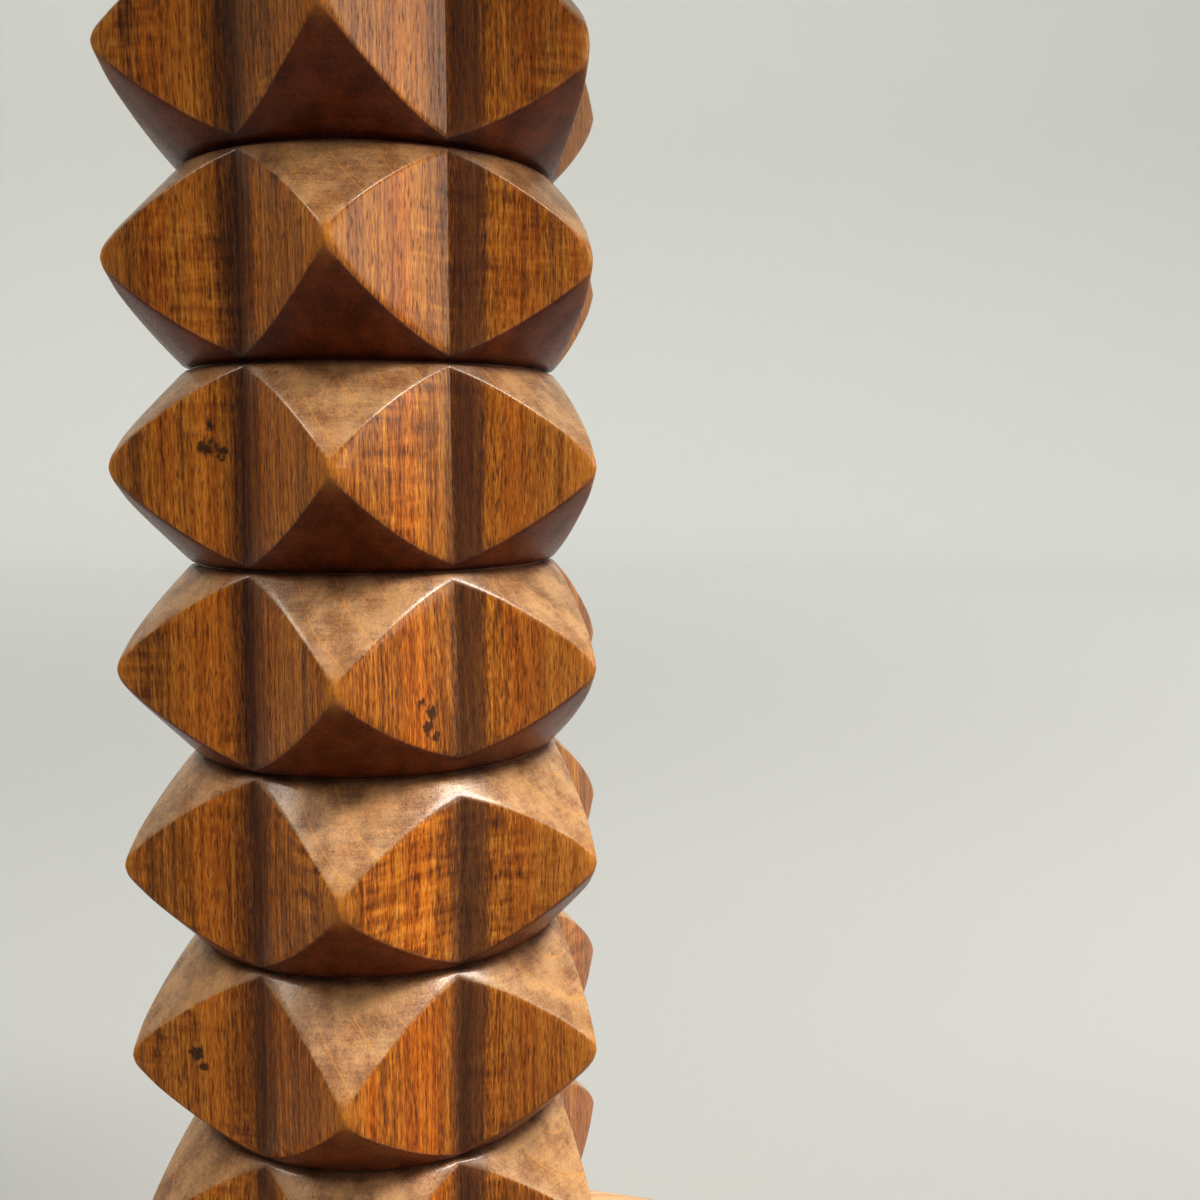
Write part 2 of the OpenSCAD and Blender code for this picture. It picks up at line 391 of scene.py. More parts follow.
def column_wood(finish, name="column_wood", turn=(0.0, 0.0, 0.0), pith=(14.0, -5.0), axis="Z", shade=1.0,
                knotty=False):
    """Dark figured hardwood: purple-brown and orange stripes, fine dark pores, waxed to a satin."""
    g = Graph(name)
    place, bent, years, year = wood_grain(g, turn, pith, 2.6)

    # Broad stripes that follow the rings, streaks along the grain, and short flecks inside them
    along = g.add("ShaderNodeSeparateXYZ", {}, {0: bent}, output="Z")
    band_at = g.add("ShaderNodeCombineXYZ", {}, {"X": years * 0.8, "Y": 0.0, "Z": along * 0.006})
    broad = g.noise(band_at, 2.0, 0.6)
    streak = g.noise(bent * STREAKS, 3.0, 0.66)
    fleck = g.noise(bent * FLECKS, 2.0, 0.6)
    ripple = g.noise(bent * RIPPLES, 2.0, 0.6)
    figured = g.step(g.noise(place * FIGURED, 1.0, 0.5), 0.50, 0.60)
    tone = broad * 0.26 + streak * 0.40 + fleck * 0.34 + (ripple - 0.5) * figured * 0.30
    if knotty:
        tone = tone + stripes_across(g, bent, fleck, AMBER_STRIPES) * 0.05
    ground = g.add("ShaderNodeValToRGB", {"stops": (
        (0.36, finish.column_dark), (0.455, finish.column_mid), (0.545, finish.column_light),
        (0.65, finish.column_pale))}, {"Fac": tone})
    glow = g.noise(bent * GLOWS, 2.0, 0.55)
    ground = g.tint(ground, WARM_TINT, g.step(glow, 0.52, 0.66) * 0.7)
    ground = g.tint(ground, COOL_TINT, g.step(glow, 0.46, 0.34) * 0.7)

    # Pores: short dark dashes along the grain
    fine = g.noise(bent * PORES, 1.0, 0.5)
    pores = g.step(fine, 0.60, 0.70)
    ground = g.blend(ground, PORE, pores * 0.55)

    if knotty:
        ground = g.blend(ground, HEARTWOOD, stripes_across(g, bent, fleck, DARK_STRIPES))
        ground = g.blend(ground, KNOT, knot_marks(g, place) * 0.85)

    # Where it is cut across the grain the wood is duller, clouded and scratched by turning, and greyed lighter
    # to paint the cones' satin sheen
    facing = g.add("ShaderNodeNewGeometry", output="Normal")
    lean = g.add("ShaderNodeSeparateXYZ", {}, {0: facing}, output=axis)
    end_grain = g.step(g.add("ShaderNodeMath", {"operation": "ABSOLUTE"}, {0: lean}), 0.15, 0.6)
    cloud = g.noise(bent * CLOUDS, 3.0, 0.55)
    marks = turned_marks(g, place)
    clouds = g.step(cloud * 0.70 + marks * 0.18 + fleck * 0.12, 0.36, 0.62)
    bloom_and_sheen = g.blend(finish.bloom_and_sheen_dark, finish.bloom_and_sheen_light, clouds)
    ground = g.blend(ground, bloom_and_sheen, end_grain * (0.62 if knotty else 0.26))
    pale_line = g.step(year, 0.925, 0.955) * g.step(year, 1.0, 0.965)
    ground = g.blend(ground, finish.column_pale, pale_line * (end_grain * 0.22 + 0.10))

    # Painted shade: faces that look down are darkened to a deep red-brown
    down = g.add("ShaderNodeSeparateXYZ", {}, {0: facing}, output="Z")
    ground = g.tint(ground, UNDERSIDE_SHADE_TINT, g.step(down, -0.15, -0.55))

    # Painted shade, with old wax and dust, in the valleys and necks; and the paler wood of worn points, which
    # also paints their highlight
    grime = g.add("ShaderNodeAttribute", {"attribute_name": "grime"}, output="Fac")
    ground = g.tint(ground, GRIME_AND_SHADE_TINT, grime)
    # Painted highlight: the points are made paler and more orange, partly as worn wood
    worn_and_highlight = g.add("ShaderNodeAttribute", {"attribute_name": "wear"}, output="Fac")
    ground = g.blend(ground, WORN_AND_HIGHLIGHT, worn_and_highlight * 0.55)
    ground = g.tint(ground, (shade,) * 3, 1.0)

    relief = fleck * 0.5 + streak * 0.3 - pores * 0.5 + marks * end_grain * 0.6
    normal = g.add("ShaderNodeBump", {}, {"Strength": 0.6, "Distance": 0.06 * MM, "Height": relief})
    rough = pores * 0.2 + (fleck * 0.3 + 0.16)
    return g.finish(Base_Color=ground, Roughness=rough, Normal=normal, Coat_Weight=0.24,
                    Coat_Roughness=0.17, Specular_IOR_Level=0.2)


def pale_wood(name, light, mid, turn, pith, ring_gap=1.6):
    """Plain tan hardwood with soft rings, for the foot, wedges, dowels and peg."""
    g = Graph(name)
    _place, bent, _years, year = wood_grain(g, turn, pith, ring_gap)
    fibre = g.noise(bent * (2.6, 2.6, 0.07), 3.0, 0.6)
    cloud = g.noise(bent * (0.16, 0.16, 0.02), 2.0, 0.5)
    ring = g.step(year, 0.35, 1.0)
    ground = g.blend(light, mid, ring * 0.55 + (cloud - 0.3) * 0.9)
    ground = g.blend(ground, mid, g.step(fibre, 0.45, 0.75) * 0.6)
    fleck = g.step(g.noise(bent * (3.4, 3.4, 0.45), 1.0, 0.5), 0.64, 0.70)
    ground = g.tint(ground, FLECK_TINT, fleck * 0.7)
    relief = fibre * 0.3 - fleck * 0.6
    normal = g.add("ShaderNodeBump", {}, {"Strength": 0.5, "Distance": 0.08 * MM, "Height": relief})
    return g.finish(Base_Color=ground, Roughness=0.38 + fleck * 0.2, Normal=normal, Coat_Weight=0.35,
                    Coat_Roughness=0.22, Specular_IOR_Level=0.45)


# ---------------------------------------------------------------- mesh helpers
def make_piece(name, points, faces, material, node, marks=None):
    """Makes a smooth mesh object that stands for a CAD node, with named marks on its points."""
    mesh = bpy.data.meshes.new(name)
    mesh.from_pydata([tuple(p) for p in points], [], faces)
    for label, values in (marks or {}).items():
        layer = mesh.attributes.new(label, "FLOAT", "POINT")
        layer.data.foreach_set("value", np.asarray(values, dtype=np.float32))
    piece = bpy.data.objects.new(name, mesh)
    bpy.context.scene.collection.objects.link(piece)
    work = bmesh.new()
    work.from_mesh(mesh)
    bmesh.ops.recalc_face_normals(work, faces=work.faces)
    work.to_mesh(mesh)
    work.free()
    mesh.polygons.foreach_set("use_smooth", [True] * len(mesh.polygons))
    mesh.materials.append(material)
    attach(piece, BODY)
    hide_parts(node)
    return piece


def ring_faces(rings, sides, closed=False):
    """Quads between rings of points, one after another, the last joined to the first if closed."""
    faces = []
    for j in range(rings if closed else rings - 1):
        low = j * sides
        high = (j + 1) % rings * sides
        for k in range(sides):
            n = (k + 1) % sides
            faces.append((low + k, low + n, high + n, high + k))
    return faces


def soft_min(a, b, soft):
    """The smaller of two values, with the corner where they cross rounded off."""
    return (a + b) / 2 - np.sqrt(((a - b) / 2) ** 2 + (soft / 2) ** 2)


def ease(count):
    """Numbers from 0 to 1, closer together at both ends."""
    return 0.5 - 0.5 * np.cos(np.linspace(0, math.pi, count))


def smooth(x):
    """0 below 0, 1 above 1 and smooth between them."""
    x = np.clip(x, 0, 1)
    return x * x * (3 - 2 * x)


def wobble(points, size, depth, seed):
    """Slow unevenness of hand work at each point: noise of that feature size and depth."""
    shift = Vector((seed, 2.7 * seed, -seed))
    return np.array([noise.noise(Vector(p) / size + shift) for p in points]) * depth


def turns(sides, shift=0.0):
    """Angles evenly spaced round a circle."""
    return [2 * math.pi * (k + shift) / sides for k in range(sides)]


def quarter_turn(count):
    """Angles from 0 to a right angle."""
    return np.linspace(0, math.pi / 2, count)


def capped_slab(xs, half_width, top, bottom, bevel, strips=6):
    """A closed solid over a strip from xs[0] to xs[-1], with a softened top edge.

    half_width(x) is half its size along Y, top(x) the height of its upper face, and bottom the height
    of its flat lower face."""
    across = np.linspace(-1, 1, strips + 1)
    points, faces = [], []

    def sheet(inset, drop, flat):
        first = len(points)
        low, high = xs[0] + inset, xs[-1] - inset
        for x0 in xs:
            x = min(max(x0, low), high)
            w = max(half_width(x0) - inset, THINNEST)
            for t in across:
                points.append((x, w * t, bottom if flat else top(x) - drop))
        return first

    cols, rows = len(xs), strips + 1
    layers = [
        sheet(bevel, 0, False),
        sheet(0.3 * bevel, 0.3 * bevel, False),
        sheet(0, bevel, False),
        sheet(0, 0, True),
    ]
    upper, lower = 0, len(layers) - 1

    def at(layer, i, j):
        return layers[layer] + i * rows + j

    rim = [(i, 0) for i in range(cols)] + [(cols - 1, j) for j in range(1, rows)]
    rim += [(i, rows - 1) for i in range(cols - 2, -1, -1)] + [(0, j) for j in range(rows - 2, 0, -1)]
    for i in range(cols - 1):
        for j in range(rows - 1):
            faces.append((at(upper, i, j), at(upper, i + 1, j), at(upper, i + 1, j + 1), at(upper, i, j + 1)))
            faces.append((at(lower, i, j), at(lower, i, j + 1), at(lower, i + 1, j + 1), at(lower, i + 1, j)))
    for layer in range(lower):
        for a, b in zip(rim, rim[1:] + rim[:1]):
            faces.append((at(layer, *a), at(layer, *b), at(layer + 1, *b), at(layer + 1, *a)))
    used = sorted({v for f in faces for v in f})
    order = {v: n for n, v in enumerate(used)}
    return [points[v] for v in used], [tuple(order[v] for v in f) for f in faces]


def saddle_height(x, radius):
    """Height of the hollow that holds the head, at x along the cradle."""
    return SADDLE + radius - np.sqrt(radius ** 2 - np.square(x))


# ---------------------------------------------------------------- the column
RIDGE_BAND = math.radians(3.0)  # half width of the strip along each ridge where edges are softer
RIDGE_SOFTER = 2.2  # how many times softer they are there
KERF_REACH = 0.30 * MM  # half width of the line cut at a neck
VALLEY_GRIME_AND_SHADE, NECK_GRIME_AND_SHADE = 1.3 * MM, 0.5 * MM  # reach of the painted shade, with grime, round valleys and necks
WEAR_HIGHLIGHT_ACROSS, WEAR_HIGHLIGHT_UP = 0.9 * MM, 1.6 * MM  # reach of the paler wear round each point, which also paints its highlight
FACET_ROWS, CONE_ROWS, SECTOR_STEPS = 11, 15, 17
# How far the points of each ridge stand out from the others, low down and near the top
RIDGE_REACH = (
    (0.0, 0.0),
    (0.0, -0.65 * MM),
    (0.3 * MM, 0.3 * MM),
    (-0.1 * MM, -0.2 * MM),
    (0.0, -0.3 * MM),
    (0.0, 0.1 * MM),
)
# Places where a hollow was cut a little shallower: valley number, height, reach along Z and rise
SHALLOW_CUTS = (
    (0, 0.445, 0.085, 1.15 * MM),
    (2, 0.700, 0.120, 0.70 * MM),
    (4, 0.250, 0.100, 0.80 * MM),
    (5, 0.850, 0.060, 0.35 * MM),
)


def star_radius(around, height, shape):
    """Distance from the axis to the planed facets, at an angle round from the front ridge."""
    step = 2 * math.pi / RIDGES
    share = (height - SHOULDER) / (COLUMN_TOP - SHOULDER)
    upper = smooth((share - 0.62) / 0.2)
    ridge = np.mod(np.round(around / step), RIDGES)
    ridge_r = np.full_like(around, POINT_R + shape.point_soft / 2)
    for number, (low, high) in enumerate(RIDGE_REACH):
        ridge_r = ridge_r + np.where(ridge == number, low + (high - low) * upper, 0.0)
    valley = np.floor(around / step)
    turned = around - (valley + 0.5) * step
    near = step / 2 - np.abs(turned)
    valley_r = np.full_like(around, shape.neck_r + shape.valley_rise)
    for number, where, reach, rise in SHALLOW_CUTS:
        bump = rise * np.exp(-((share - where) / reach) ** 2)
        valley_r = valley_r + np.where(np.mod(valley, RIDGES) == number, bump, 0.0)
    slope = np.arctan2(ridge_r - valley_r * math.cos(step / 2), valley_r * math.sin(step / 2))
    reach = ridge_r * np.cos(slope)
    this_face = reach / np.cos(near - slope)
    next_face = reach / np.cos(near + slope)
    return soft_min(this_face, next_face, shape.point_soft), near


def column_grid(shape):
    """Points of the faceted shaft: rows run along every edge between facet and cone.

    Returns the rings of points, the painted shade with grime and the wear with painted highlight at each, and
    the number of points in a ring."""
    pitch = (COLUMN_TOP - SHOULDER) / shape.tiers
    apex_r = POINT_R + shape.point_cut
    fall = (apex_r - shape.neck_r) / (pitch / 2)
    half_sector = math.pi / RIDGES
    quarter = ease(SECTOR_STEPS + 1)[:-1] * half_sector
    around = np.concatenate([n * half_sector + quarter for n in range(2 * RIDGES)])
    angle = around - math.pi / 2
    facet_rows, cone_rows = ease(FACET_ROWS + 1)[:-1], ease(CONE_ROWS)
    points, grime, wear = [], [], []
    for tier in range(shape.tiers):
        middle = SHOULDER + (tier + 0.5) * pitch
        for side in (-1, 1):
            edge_z = middle + side * 0.3 * pitch
            star_here, _near = star_radius(around, np.full_like(around, edge_z), shape)
            edge = np.clip((apex_r - star_here) / fall, 0.02 * pitch, 0.49 * pitch)
            rows = [edge * t for t in facet_rows]
            rows += [edge + (pitch / 2 - edge) * t for t in cone_rows]
            if side < 0:
                rows = rows[:0:-1]
            elif tier < shape.tiers - 1:
                rows = rows[:-1]
            for up in rows:
                z = middle + side * up
                star_z, near = star_radius(around, z, shape)
                cone = apex_r - fall * up
                soft = shape.edge_soft + RIDGE_SOFTER * shape.edge_soft * np.exp(-(near / RIDGE_BAND) ** 2)
                r = soft_min(star_z, cone, soft)
                to_neck = pitch / 2 - up
                r = r - shape.kerf * (1 - smooth(to_neck / KERF_REACH))
                valley_gap = (half_sector - near) * r
                in_valley = np.exp(-(valley_gap / VALLEY_GRIME_AND_SHADE) ** 2) * (up < edge + 0.4 * MM)
                in_neck = np.exp(-(to_neck / NECK_GRIME_AND_SHADE) ** 2)
                # painted shade, with grime, darkens the valleys and the necks
                grime.append(np.maximum(0.85 * in_valley, in_neck))
                # paler wear at the points, which also paints their highlight
                wear.append(np.exp(-(near * r / WEAR_HIGHLIGHT_ACROSS) ** 2 - (up / WEAR_HIGHLIGHT_UP) ** 2))
                points.append(np.stack([r * np.cos(angle), r * np.sin(angle), z], axis=-1))
    return points, grime, wear, len(around)


def build_column(shape, finish):
    """The faceted shaft with its ends closed, and its two tenons, each split by a wedge."""
    rings, grime, wear, sides = column_grid(shape)
    shaft = np.concatenate(rings)
    outward = shaft * (1, 1, 0)
    outward /= np.linalg.norm(outward, axis=1, keepdims=True)
    for size, depth, shift in SHAFT_UNEVEN:
        shaft = shaft + outward * wobble(shaft, size, depth, shift)[:, None]
    points = [tuple(p) for p in shaft]
    faces = ring_faces(len(rings), sides)
    low_centre = len(points)
    points += [(0, 0, points[0][2]), (0, 0, points[-1][2])]
    last = (len(rings) - 1) * sides
    for k in range(sides):
        n = (k + 1) % sides
        faces.append((low_centre, n, k))
        faces.append((low_centre + 1, last + k, last + n))
    marks = {
        "grime": list(np.concatenate(grime)) + [1.0, 1.0],
        "wear": list(np.concatenate(wear)) + [0.0, 0.0],
    }

    def circle(x):
        return math.sqrt(max(TENON_R ** 2 - x * x, 0))

    for wedge_high, top, bottom, flip in (
            (WEDGE_HIGH.x, lambda x: saddle_height(x, shape.saddle_r), COLUMN_TOP, 1),
            (FOOT_WEDGE_HIGH.x, lambda x: -TENON_SINK, -SHOULDER, -1)):
        for side in (-1, 1):
            inner = wedge_high + SPLIT_GAP
            xs = inner + (TENON_R - 0.01 * MM - inner) * np.sin(quarter_turn(12))
            xs = xs if side > 0 else -xs[::-1]
            slab_points, slab_faces = capped_slab(list(xs), circle, top, bottom, TENON_BEVEL)
            start = len(points)
            points += [(x, y, flip * z) for x, y, z in slab_points]
            faces += [tuple(start + v for v in f) for f in slab_faces]
            for values in marks.values():
                values += [0.0] * len(slab_points)
    wood = column_wood(finish, knotty=True)
    make_piece("column_carved", points, faces, wood, "column", marks)


# ---------------------------------------------------------------- foot, collar, cradle, pegs
def oval(angle, half_length, half_width, squareness=2.0):
    """A point of an oval outline, squarer than an ellipse above a squareness of 2."""
    c, s = math.cos(angle), math.sin(angle)
    power = 2 / squareness
    return (half_length * math.copysign(abs(c) ** power, c), half_width * math.copysign(abs(s) ** power, s))


def build_foot(shape, finish):
    """An oval with a rounded top edge, in rings that run from the mortise out, down and back."""
    sides, hole = 192, TENON_R + shape.glue_gap
    half_l, half_w, thick = FOOT_HIGH.x, FOOT_HIGH.y, FOOT_HIGH.z
    turn = shape.foot_round
    rings = []

    def between(share, inset, z):
        ring = []
        for a in turns(sides):
            ox, oy = oval(a, half_l - inset, half_w - inset)
            ring.append((hole * math.cos(a) * (1 - share) + ox * share,
                         hole * math.sin(a) * (1 - share) + oy * share, z))
        rings.append(ring)

    for share in np.linspace(0, 1, 22)[:-1]:
        between(share, turn, thick)
    for b in quarter_turn(12):
        between(1, turn * (1 - math.sin(b)), thick - turn * (1 - math.cos(b)))
    for z in np.linspace(thick - turn, FOOT_EASE, 8)[1:]:
        between(1, 0, z)
    for b in quarter_turn(5)[1:]:
        between(1, FOOT_EASE * (1 - math.cos(b)), FOOT_EASE * (1 - math.sin(b)))
    for share in np.linspace(1, 0, 14)[1:]:
        between(share, FOOT_EASE, 0)
    points = np.array([p for ring in rings for p in ring])
    inward = points * (1, 1, 0)
    inward /= np.linalg.norm(inward, axis=1, keepdims=True)
    side_share = smooth((np.linalg.norm(points[:, :2], axis=1) - JOINT_R) / (12 * MM))
    points = points - inward * (side_share * (0.12 * MM + wobble(points, *FOOT_SIDE_UNEVEN)))[:, None]
    on_top = smooth((points[:, 2] - 0.5 * thick) / (0.4 * thick)) * side_share
    points[:, 2] -= on_top * (0.10 * MM + wobble(points, *FOOT_TOP_UNEVEN))
    faces = ring_faces(len(rings), sides, closed=True)
    wood = pale_wood("foot_wood", finish.foot_light, finish.foot_mid, (0, math.pi / 2, 0), (4.0, -70.0))
    make_piece("foot", points, faces, wood, "base")


def build_collar(shape, finish):
    """A turned ring, as a profile swept round the axis, with a bore for the peg."""
    sides, hole = 160, TENON_R + shape.glue_gap
    low, high, outer = COLLAR_LOW.z, COLLAR_HIGH.z, COLLAR_HIGH.x
    turn, bevel = shape.collar_round, COLLAR_EASE
    profile = [(hole, low), (0.5 * (hole + outer), low)]
    profile += [(outer - turn * (1 - math.sin(b)), low + turn * (1 - math.cos(b))) for b in quarter_turn(12)]
    profile += [(outer, z) for z in np.linspace(low + turn, high - bevel, 6)[1:]]
    profile += [(outer - bevel * (1 - math.cos(b)), high - bevel * (1 - math.sin(b)))
                for b in quarter_turn(7)[1:]]
    profile += [(0.5 * (hole + outer), high), (hole, high)]
    points = []
    for r, z in profile:
        r = r - 0.03 * MM if r > hole else r
        points += [(r * math.cos(a), r * math.sin(a), z) for a in turns(sides)]
    # painted shade, with grime, along the collar's lower edge where it sits on the column
    marks = {"grime": [math.exp(-((p[2] - low) / COLLAR_GRIME_AND_SHADE) ** 2) * 0.8 for p in points],
             "wear": [0.0] * len(points)}
    wood = column_wood(finish, "collar_wood", (0, math.pi / 2, 0), (30.0, 48.0), "X", 0.8)
    collar = make_piece("neck_collar_turned", points, ring_faces(len(profile), sides, closed=True), wood,
                        "neck_collar", marks)
    bore_for_peg(collar)


def bore_for_peg(collar):
    """Cuts the hole that the peg goes through."""
    sides, r = 48, PEG_HIGH.x + 0.1 * MM
    reach = PEG_HIGH.y + 2 * MM
    points = [(r * math.cos(a), y, PEG_HEIGHT + r * math.sin(a))
              for y in (-reach, reach) for a in turns(sides)]
    faces = ring_faces(2, sides) + [tuple(range(sides)), tuple(range(2 * sides - 1, sides - 1, -1))]
    mesh = bpy.data.meshes.new("peg_bore")
    mesh.from_pydata(points, [], faces)
    drill = bpy.data.objects.new("peg_bore", mesh)
    bpy.context.scene.collection.objects.link(drill)
    cut = collar.modifiers.new("peg_bore", "BOOLEAN")
    cut.operation = "DIFFERENCE"
    cut.solver = "EXACT"
    cut.object = drill
    settle(collar)
    bpy.data.objects.remove(drill)


def settle(piece):
    """Applies the piece's modifiers to its mesh."""
    view = bpy.context.evaluated_depsgraph_get()
    made = bpy.data.meshes.new_from_object(piece.evaluated_get(view))
    piece.modifiers.clear()
    old, piece.data = piece.data, made
    bpy.data.meshes.remove(old)


def build_cradle(shape, finish):
    """The curved rest, in rings that run from the mortise over the hollow, round the edge and back below."""
    sides, hole = 224, TENON_R + shape.glue_gap
    half_l, half_w, seat = CRADLE_HIGH.x - 0.05 * MM, CRADLE_HIGH.y, CRADLE_LOW.z
    turn = shape.cradle_round
    # The belly is an arc from the edge of the flat seat to the underside of the tips
    seat_half = COLLAR_HIGH.x + 1 * MM
    rise = CRADLE_HIGH.z - shape.tip_t - seat
    up = (half_l ** 2 - seat_half ** 2 + rise ** 2) / (2 * rise)
    belly_r = math.hypot(seat_half, up)

    def top(x):
        return saddle_height(x, shape.saddle_r)

    def belly(x):
        arc = seat + up - np.sqrt(belly_r ** 2 - np.square(x))
        return seat + np.sqrt(np.maximum(arc - seat, 0) ** 2 + SEAT_EASE ** 2) - SEAT_EASE

    rings = []

    def ring(share, inset, height):
        row = []
        for a in turns(sides, 0.5):
            ox, oy = oval(a, half_l - inset, half_w - inset, 3.0)
            x = hole * math.cos(a) * (1 - share) + ox * share
            y = hole * math.sin(a) * (1 - share) + oy * share
            row.append((x, y, float(height(x))))
        rings.append(row)

    for share in np.linspace(0, 1, 40)[:-1]:
        ring(share, turn, top)
    for b in quarter_turn(9):
        ring(1, turn * (1 - math.sin(b)), lambda x: top(x) - turn * (1 - math.cos(b)))
    under_turn = 0.8 * turn
    for t in np.linspace(0, 1, 6)[1:-1]:
        ring(1, 0, lambda x: (top(x) - turn) * (1 - t) + (belly(x) + under_turn) * t)
    for b in quarter_turn(9)[::-1]:
        ring(1, under_turn * (1 - math.sin(b)), lambda x: belly(x) + under_turn * (1 - math.cos(b)))
    for share in np.linspace(1, 0, 40)[1:]:
        ring(share, under_turn, belly)
    points = np.array([p for row in rings for p in row])
    free = smooth((np.linalg.norm(points[:, :2], axis=1) - JOINT_R) / (14 * MM))
    points[:, 2] += free * (wobble(points, *CRADLE_UNEVEN) - 0.10 * MM)
    points[:, :2] *= (1 - CRADLE_SHRINK * free)[:, None]
    off_hole = np.linalg.norm(points[:, :2], axis=1) - hole
    # painted shade, with grime, round the mortise
    marks = {"grime": np.exp(-(off_hole / MORTISE_GRIME_AND_SHADE) ** 2) * 0.9, "wear": np.zeros(len(points))}
    wood = column_wood(finish, "cradle_wood", (0, math.pi / 2, 0), (38.0, 26.0), "X")
    make_piece("cradle_carved", points, ring_faces(len(rings), sides, closed=True), wood,
               "cradle", marks)


def peg_wood(finish, name, turn):
    """The pale wood of wedges, dowels and peg, with its grain turned along the piece."""
    mid = tuple(0.72 * c for c in finish.peg_light)
    return pale_wood(name, finish.peg_light, mid, turn, (9.0, 14.0), 1.1)


def build_wedges(shape, finish):
    """One wedge in each tenon: the lower one is built upside down and turned over."""
    wood = peg_wood(finish, "wedge_wood", (0, 0, 0))
    for name, node, high, top, bottom, flip in (
            ("wedge_in_saddle", "saddle_wedge", WEDGE_HIGH,
             lambda x: saddle_height(x, shape.saddle_r), WEDGE_LOW.z, 1),
            ("wedge_in_foot", "foot_wedge", FOOT_WEDGE_HIGH, lambda x: -WEDGE_SINK, -FOOT_WEDGE_HIGH.z, -1)):
        xs = list(np.linspace(-high.x, high.x, 5))
        points, faces = capped_slab(xs, lambda x: math.sqrt(TENON_R ** 2 - x * x), top, bottom,
                                    WEDGE_BEVEL, strips=24)
        points = [(x, y, flip * z) for x, y, z in points]
        make_piece(name, points, faces, wood, node)


def rod(r, length, dome, sides=48):
    """Rings of a round rod along Z with domed ends, centred on the origin."""
    rings = []
    for end in (-1, 1):
        steps = np.linspace(0.04, 1, 8)
        steps = steps if end < 0 else steps[::-1]
        for s in steps:
            fall = dome * (1 - math.sqrt(max(1 - (0.999 * s) ** 2, 0)))
            rings.append((r * s, end * (length / 2 - fall)))
    points = [(rr * math.cos(a), rr * math.sin(a), z) for rr, z in rings for a in turns(sides)]
    faces = ring_faces(len(rings), sides)
    faces += [tuple(range(sides)), tuple(range(len(points) - 1, len(points) - 1 - sides, -1))]
    return points, faces


def build_pegs(finish):
    """The peg across the collar, and the pair of dowels under the cradle."""
    points, faces = rod(PEG_HIGH.x, 2 * PEG_HIGH.y, 0.5 * MM)
    points = [(x, z, PEG_HEIGHT + y) for x, y, z in points]
    across = peg_wood(finish, "peg_wood", (math.pi / 2, 0, 0))
    make_piece("peg_across_collar", points, faces, across, "neck_peg")
    low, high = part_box("cradle_dowels")
    r = high.y
    points, faces = rod(r, high.z - low.z, 0.6 * MM)
    both, joined = [], []
    for side in (-1, 1):
        start = len(both)
        both += [(x + side * (high.x - r), y, z + (low.z + high.z) / 2) for x, y, z in points]
        joined += [tuple(start + v for v in f) for f in faces]
    upright = peg_wood(finish, "dowel_wood", (0, 0, 0))
    make_piece("dowels_under_cradle", both, joined, upright, "cradle_dowels")


# ---------------------------------------------------------------- studio
def build_stage(studio):
    """A seamless pale bowl: floor, sweep and wall in one."""
    g = Graph("studio_wall")
    place = g.add("ShaderNodeTexCoord", output="Object")
    flat = place * (1.0, 1.0, 0.0)
    off_centre = g.add("ShaderNodeVectorMath", {"operation": "LENGTH"}, {0: flat}, output="Value")
    wall = g.blend(studio.floor_tone, studio.wall_tone, g.step(off_centre, 0.25, 1.3))
    paint = g.finish(Base_Color=wall, Roughness=0.9, Specular_IOR_Level=0.1)
    sides, floor_r, sweep, wall_h = 128, 1.1, 0.5, 1.6
    profile = [(r, 0.0) for r in (0.15, 0.4, 0.8, floor_r)]
    profile += [(floor_r + sweep * math.sin(b), sweep * (1 - math.cos(b)))
                for b in quarter_turn(12)[1:]]
    profile += [(floor_r + sweep, wall_h)]
    points = [(r * math.cos(a), r * math.sin(a), z) for r, z in profile for a in turns(sides)]
    faces = ring_faces(len(profile), sides) + [tuple(range(sides - 1, -1, -1))]
    mesh = bpy.data.meshes.new("studio")
    mesh.from_pydata(points, [], faces)
    mesh.polygons.foreach_set("use_smooth", [True] * len(mesh.polygons))
    mesh.materials.append(paint)
    bowl = bpy.data.objects.new("studio", mesh)
    bpy.context.scene.collection.objects.link(bowl)
    bowl.location.z = -0.1 * MM


def area_light(name, azimuth, elevation, distance, size, watts, colour, aim):
    """A square soft light: azimuth is to the right of the front, seen from the column's middle."""
    lamp = bpy.data.lights.new(name, "AREA")
    lamp.size = size
    lamp.energy = watts
    lamp.color = colour
    a, e = math.radians(azimuth), math.radians(elevation)
    out = Vector((math.sin(a) * math.cos(e), -math.cos(a) * math.cos(e), math.sin(e)))
    light = bpy.data.objects.new(name, lamp)
    light.location = MIDDLE + out * distance
    light.rotation_mode = "QUATERNION"
    light.rotation_quaternion = (light.location - Vector(aim)).to_track_quat("Z", "Y")
    bpy.context.scene.collection.objects.link(light)


def build_camera(studio):
    """The camera in front of the column, a little to its right."""
    lens = bpy.data.cameras.new("view")
    lens.lens = studio.lens
    lens.sensor_width = 36
    lens.clip_start = 0.01
    camera = bpy.data.objects.new("view", lens)
    away = studio.distance
    camera.location = (away * math.sin(studio.side), -away * math.cos(studio.side), SHOULDER + studio.height)
    heading = studio.turn - studio.side
    camera.rotation_euler = (math.pi / 2 - studio.tilt, 0, -heading)
    bpy.context.scene.collection.objects.link(camera)
    bpy.context.scene.camera = camera


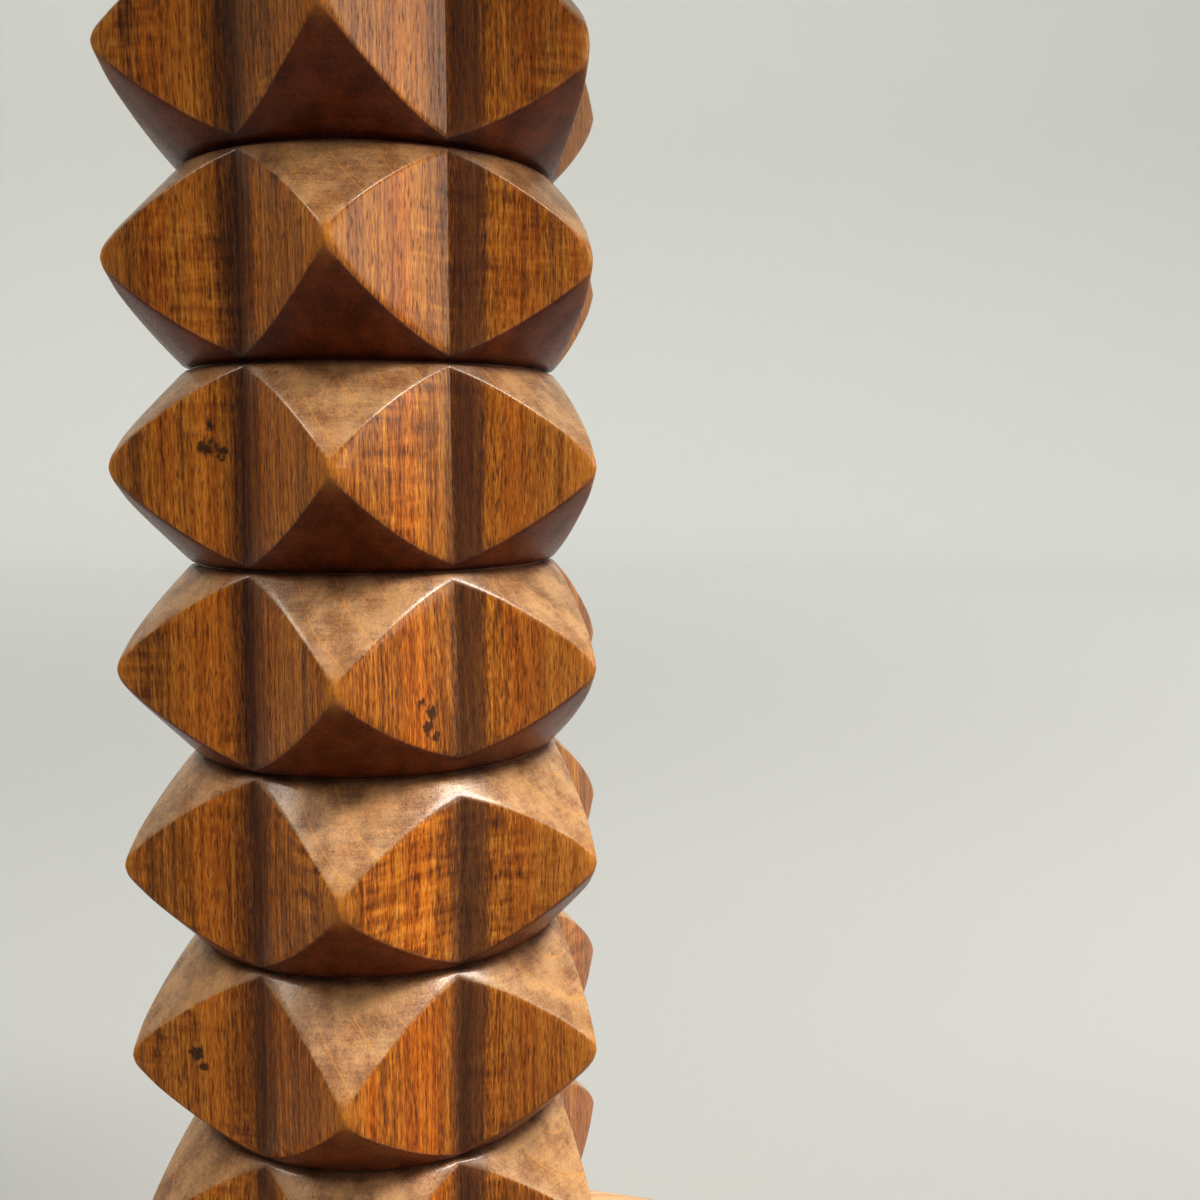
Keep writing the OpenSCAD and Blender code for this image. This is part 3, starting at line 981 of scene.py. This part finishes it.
# Lamps: name, azimuth and elevation in degrees, distance, size, watts, colour and what it is aimed at
LAMPS = (
    ("key", 72, 54, 1.0, 0.28, 8.4, (1.0, 0.98, 0.95), MIDDLE),
    ("left", -76, 50, 1.0, 0.28, 2.5, (1.0, 0.98, 0.95), MIDDLE),
    ("window", 80, 16, 1.0, 0.5, 3.2, (1.0, 0.97, 0.92), MIDDLE),
    ("wall_wash", 180, 68, 1.2, 0.8, 3.0, (1.0, 1.0, 0.99), (0.0, 1.6, 0.45)),
)


def build_lights():
    """The lamps, the even light of the room and the tone curve."""
    for lamp in LAMPS:
        area_light(*lamp)
    world = bpy.data.worlds.new("studio")
    world.use_nodes = True
    sky = world.node_tree.nodes["Background"]
    sky.inputs["Color"].default_value = (0.95, 0.97, 1.0, 1)
    sky.inputs["Strength"].default_value = 0.80
    bpy.context.scene.world = world
    bpy.context.scene.view_settings.view_transform = "Standard"
    bpy.context.scene.view_settings.look = "High Contrast"


# ---------------------------------------------------------------- operators
class HEADREST_OT_studio(bpy.types.Operator):
    """Sets up the camera, the pale floor and wall, and the lights"""

    bl_idname = "headrest.studio"
    bl_label = "Studio"
    bl_options = {"REGISTER", "UNDO"}

    def execute(self, context):
        build_camera(context.scene.headrest_studio)
        build_stage(context.scene.headrest_studio)
        build_lights()
        return {"FINISHED"}


class HEADREST_OT_column(bpy.types.Operator):
    """Carves the faceted column with its split tenons"""

    bl_idname = "headrest.column"
    bl_label = "Column"
    bl_options = {"REGISTER", "UNDO"}

    def execute(self, context):
        build_column(context.scene.headrest_shape, context.scene.headrest_finish)
        return {"FINISHED"}


class HEADREST_OT_foot(bpy.types.Operator):
    """Shapes the oval foot"""

    bl_idname = "headrest.foot"
    bl_label = "Foot"
    bl_options = {"REGISTER", "UNDO"}

    def execute(self, context):
        build_foot(context.scene.headrest_shape, context.scene.headrest_finish)
        return {"FINISHED"}


class HEADREST_OT_collar(bpy.types.Operator):
    """Turns the collar under the cradle"""

    bl_idname = "headrest.collar"
    bl_label = "Collar"
    bl_options = {"REGISTER", "UNDO"}

    def execute(self, context):
        build_collar(context.scene.headrest_shape, context.scene.headrest_finish)
        return {"FINISHED"}


class HEADREST_OT_cradle(bpy.types.Operator):
    """Carves the curved cradle that holds the head"""

    bl_idname = "headrest.cradle"
    bl_label = "Cradle"
    bl_options = {"REGISTER", "UNDO"}

    def execute(self, context):
        build_cradle(context.scene.headrest_shape, context.scene.headrest_finish)
        return {"FINISHED"}


class HEADREST_OT_wedges(bpy.types.Operator):
    """Makes the two wedges that spread the tenons"""

    bl_idname = "headrest.wedges"
    bl_label = "Wedges"
    bl_options = {"REGISTER", "UNDO"}

    def execute(self, context):
        build_wedges(context.scene.headrest_shape, context.scene.headrest_finish)
        return {"FINISHED"}


class HEADREST_OT_pegs(bpy.types.Operator):
    """Makes the peg across the collar and the dowels under the cradle"""

    bl_idname = "headrest.pegs"
    bl_label = "Pegs and dowels"
    bl_options = {"REGISTER", "UNDO"}

    def execute(self, context):
        build_pegs(context.scene.headrest_finish)
        return {"FINISHED"}


STEPS = (
    HEADREST_OT_studio, HEADREST_OT_foot, HEADREST_OT_column, HEADREST_OT_collar,
    HEADREST_OT_cradle, HEADREST_OT_wedges, HEADREST_OT_pegs,
)


class HEADREST_PT_panel(bpy.types.Panel):
    """The headrest's settings and steps"""

    bl_idname = "HEADREST_PT_panel"
    bl_label = "Headrest"
    bl_space_type = "VIEW_3D"
    bl_region_type = "UI"
    bl_category = "Headrest"

    def draw(self, context):
        for step in STEPS:
            self.layout.operator(step.bl_idname)
        for group_name in GROUPS:
            group = getattr(context.scene, group_name)
            box = self.layout.box()
            for name in group.__annotations__:
                box.prop(group, name)


CLASSES = (HeadrestShape, HeadrestFinish, HeadrestStudio, *STEPS, HEADREST_PT_panel)
GROUPS = {
    "headrest_shape": HeadrestShape,
    "headrest_finish": HeadrestFinish,
    "headrest_studio": HeadrestStudio,
}


def register():
    for cls in CLASSES:
        bpy.utils.register_class(cls)
    for name, group in GROUPS.items():
        setattr(bpy.types.Scene, name, PointerProperty(type=group))


def unregister():
    for name in GROUPS:
        delattr(bpy.types.Scene, name)
    for cls in reversed(CLASSES):
        bpy.utils.unregister_class(cls)


def main():
    register()
    for step in STEPS:
        group, name = step.bl_idname.split(".")
        getattr(getattr(bpy.ops, group), name)()


if __name__ == "__main__":
    main()
